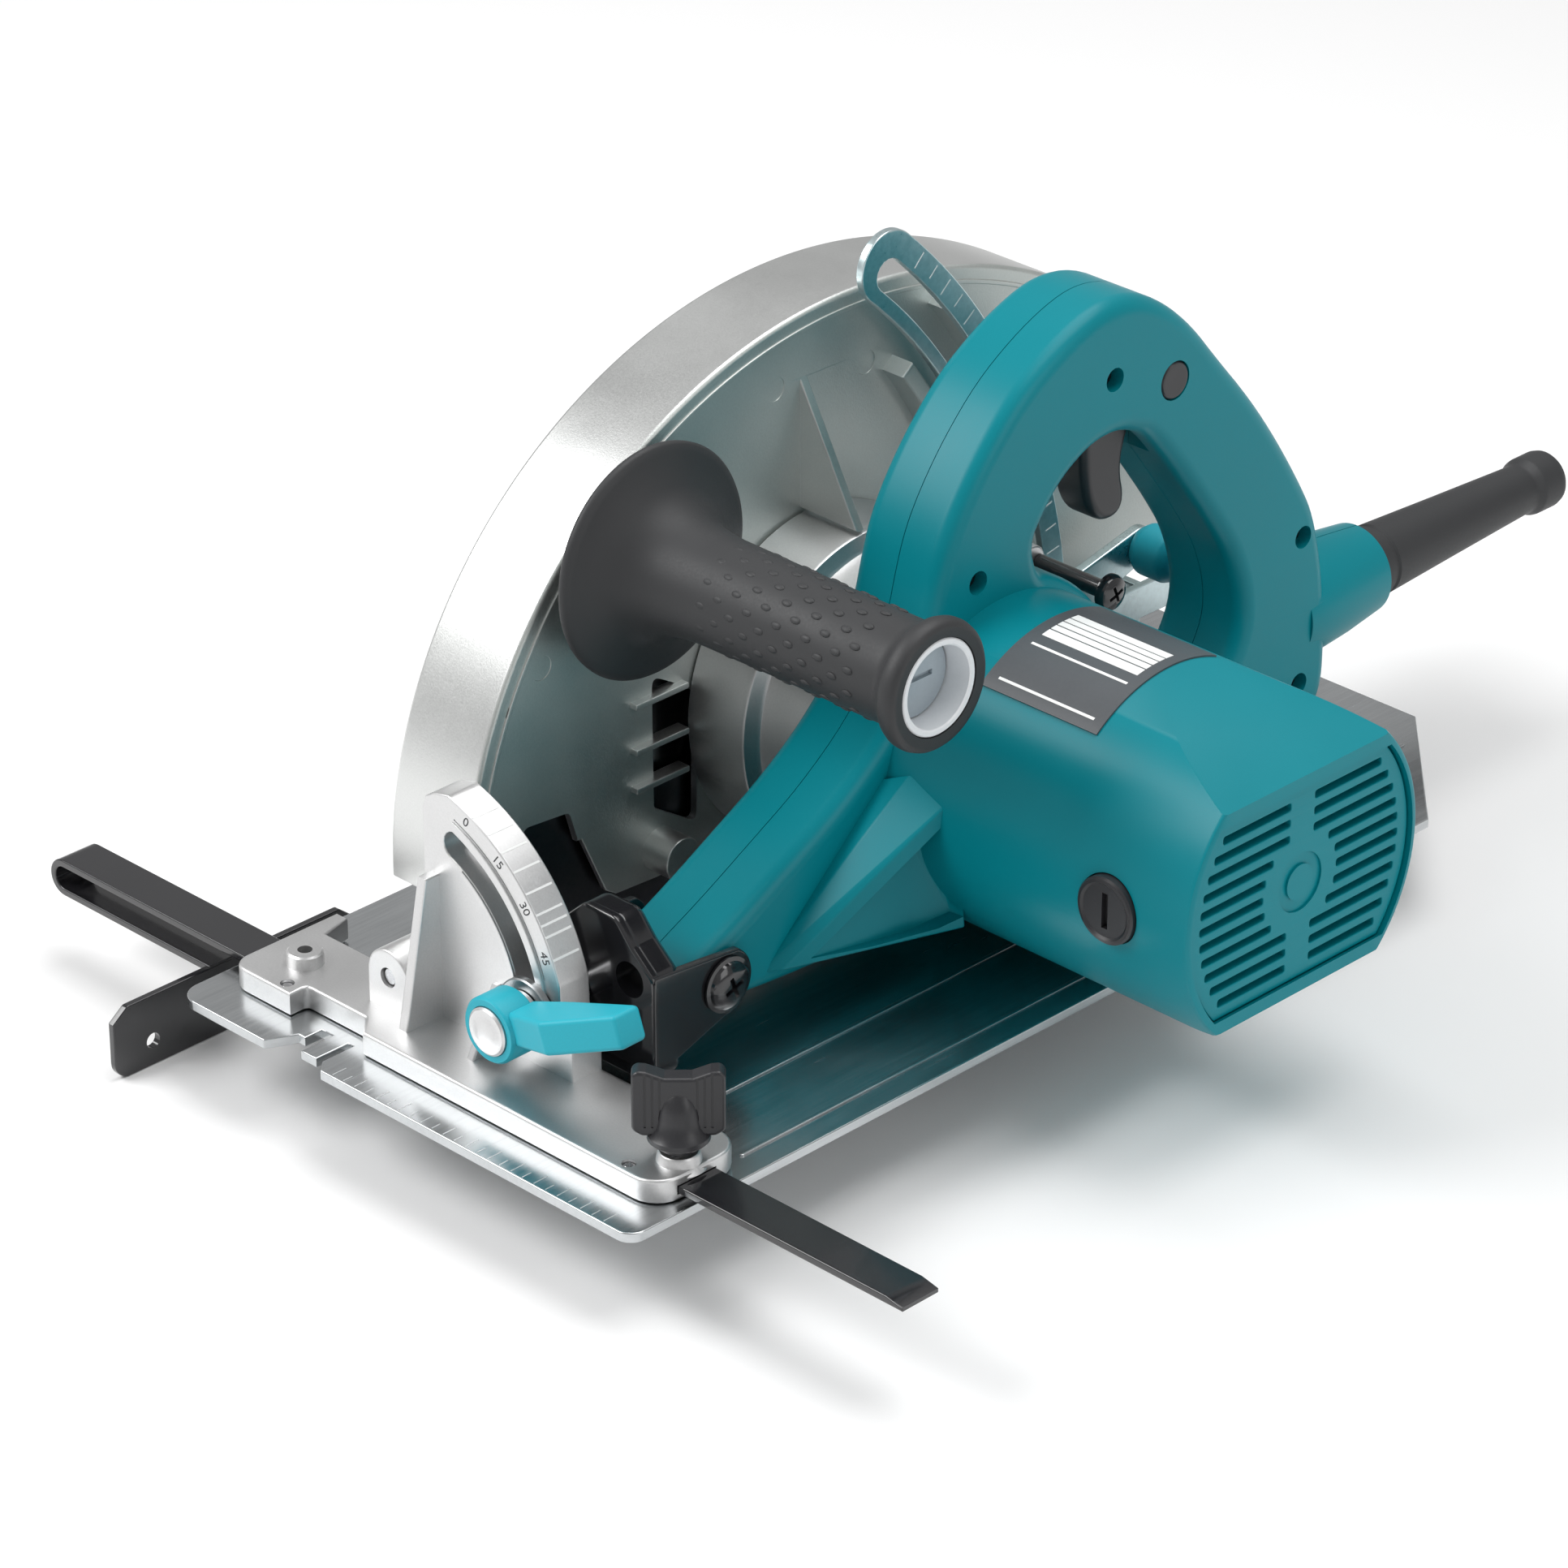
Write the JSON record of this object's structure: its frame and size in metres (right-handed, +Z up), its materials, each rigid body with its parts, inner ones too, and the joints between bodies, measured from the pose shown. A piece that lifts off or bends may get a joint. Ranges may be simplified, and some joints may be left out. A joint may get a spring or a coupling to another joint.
{
  "type": "circular saw",
  "caption": "Corded circular saw: tilting, depth-adjustable body with a blade in a cast case, side-mounted motor, loop handle, front grip and a slotted base with rip fence.",
  "frame": {"origin": "centre of the base plate, on its sole (the face that rests on the work)", "axes": "+Z up from the sole, -Y the cutting direction, +X towards the motor"},
  "size_m": [0.3835, 0.534, 0.3192],
  "materials": {
    "cast": "satin_cast",
    "sheet": "brushed",
    "zinc": "zinc_plated",
    "steel": "brushed",
    "dark_steel": "satin",
    "teal": "satin",
    "cyan": "satin",
    "black_paint": "gloss",
    "black_plastic": "satin",
    "rubber": "matte",
    "white": "gloss",
    "label": "satin",
    "copper": "satin",
    "carbon": "matte"
  },
  "bodies": {
    "base": {"base_plate": "sheet", "angular_guide": "cast", "base_rivet_1": "steel", "base_rivet_2": "steel", "rear_pivot_lug": "sheet"},
    "rip_fence_body": {"rip_fence": "black_paint"},
    "clamp_knob": {"wing_knob": "black_plastic", "clamp_screw": "steel"},
    "tilt_frame": {"pivot_bracket": "black_paint", "depth_pivot_bolt": "black_paint", "bevel_stud": "steel", "bevel_washer": "steel", "front_tilt_pin": "steel", "rear_tilt_pin": "steel", "depth_guide": "zinc", "rear_bracket": "zinc"},
    "bevel_lever_body": {"bevel_lever": "cyan", "bevel_lever_hub": "cast"},
    "saw_body": {"blade_case": "cast", "gear_housing": "cast", "motor_housing": "teal", "handle_cover": "teal", "handle_screw_1": "dark_steel", "handle_screw_2": "dark_steel", "handle_screw_3": "dark_steel", "handle_screw_4": "dark_steel", "flange_screw": "black_paint", "end_cover": "teal", "brush_cap_front": "black_plastic", "brush_cap_rear": "black_plastic", "carbon_brush_front": "carbon", "carbon_brush_rear": "carbon", "field_stator": "dark_steel", "pinion_bearing": "steel", "rear_bearing": "steel", "spindle_bearing": "steel", "nameplate": "label", "side_grip": "rubber", "grip_end_ring": "white", "grip_cap": "white", "grip_bolt": "steel", "cord_guard": "rubber", "switch_block": "black_plastic", "depth_lock_bolt": "steel", "guard_spring": "steel"},
    "blade": {"saw_blade": "steel", "inner_flange": "steel", "outer_flange": "steel", "blade_bolt": "dark_steel", "spindle": "steel", "drive_gear": "steel"},
    "armature": {"armature_shaft": "steel", "armature_core": "copper", "commutator": "copper", "cooling_fan": "black_plastic"},
    "guard": {"lower_guard": "dark_steel"},
    "trigger_body": {"trigger": "black_plastic"},
    "lock_button_body": {"lock_button": "black_plastic"},
    "depth_lever_body": {"depth_lever": "zinc", "depth_lever_knob": "cyan"}
  },
  "joints": [
    {"name": "rip_fence_slide", "type": "slide", "parent": "base", "child": "rip_fence_body", "axis": [-1, 0, 0], "range_m": [-0.035, 0.085]},
    {"name": "clamp_knob_turn", "type": "hinge", "parent": "base", "child": "clamp_knob", "pos_m": [0.0905, -0.1783, 0.02], "axis": [0, 0, 1], "range_deg": [0, 360]},
    {"name": "bevel_tilt", "type": "hinge", "parent": "base", "child": "tilt_frame", "pos_m": [-0.036, -0.15, 0.0235], "axis": [0, -1, 0], "range_deg": [0, 45]},
    {"name": "bevel_lever_turn", "type": "hinge", "parent": "tilt_frame", "child": "bevel_lever_body", "pos_m": [0.01859, -0.18, 0.0302], "axis": [0, -1, 0], "range_deg": [0, 60]},
    {"name": "depth_swing", "type": "hinge", "parent": "tilt_frame", "child": "saw_body", "pos_m": [0.0275, -0.119, 0.0315], "axis": [1, 0, 0], "range_deg": [0, 36]},
    {"name": "blade_spin", "type": "hinge", "parent": "saw_body", "child": "blade", "pos_m": [-0.0515, 0.0022, 0.0341], "axis": [1, 0, 0], "continuous": true},
    {"name": "armature_spin", "type": "hinge", "parent": "saw_body", "child": "armature", "pos_m": [0.08, 0.0097, 0.0625], "axis": [1, 0, 0], "continuous": true},
    {"name": "lower_guard_swing", "type": "hinge", "parent": "saw_body", "child": "guard", "pos_m": [-0.0515, 0.0022, 0.0341], "axis": [1, 0, 0], "range_deg": [0, 150], "stiffness_Nm_per_rad": 0.15, "springref_deg": -28.65},
    {"name": "trigger_pull", "type": "hinge", "parent": "saw_body", "child": "trigger_body", "pos_m": [0.0275, 0.058, 0.161], "axis": [1, 0, 0], "range_deg": [0, 7], "stiffness_Nm_per_rad": 0.5},
    {"name": "lock_button_press", "type": "slide", "parent": "saw_body", "child": "lock_button_body", "axis": [-1, 0, 0], "range_m": [0, 0.0035], "stiffness_N_per_m": 400},
    {"name": "depth_lever_turn", "type": "hinge", "parent": "saw_body", "child": "depth_lever_body", "pos_m": [-0.0234, 0.10365, 0.05098], "axis": [1, 0, 0], "range_deg": [0, 50]}
  ],
  "couplings": [
    {"joint": "armature_spin", "follows": "blade_spin", "ratio": -4.2222}
  ]
}
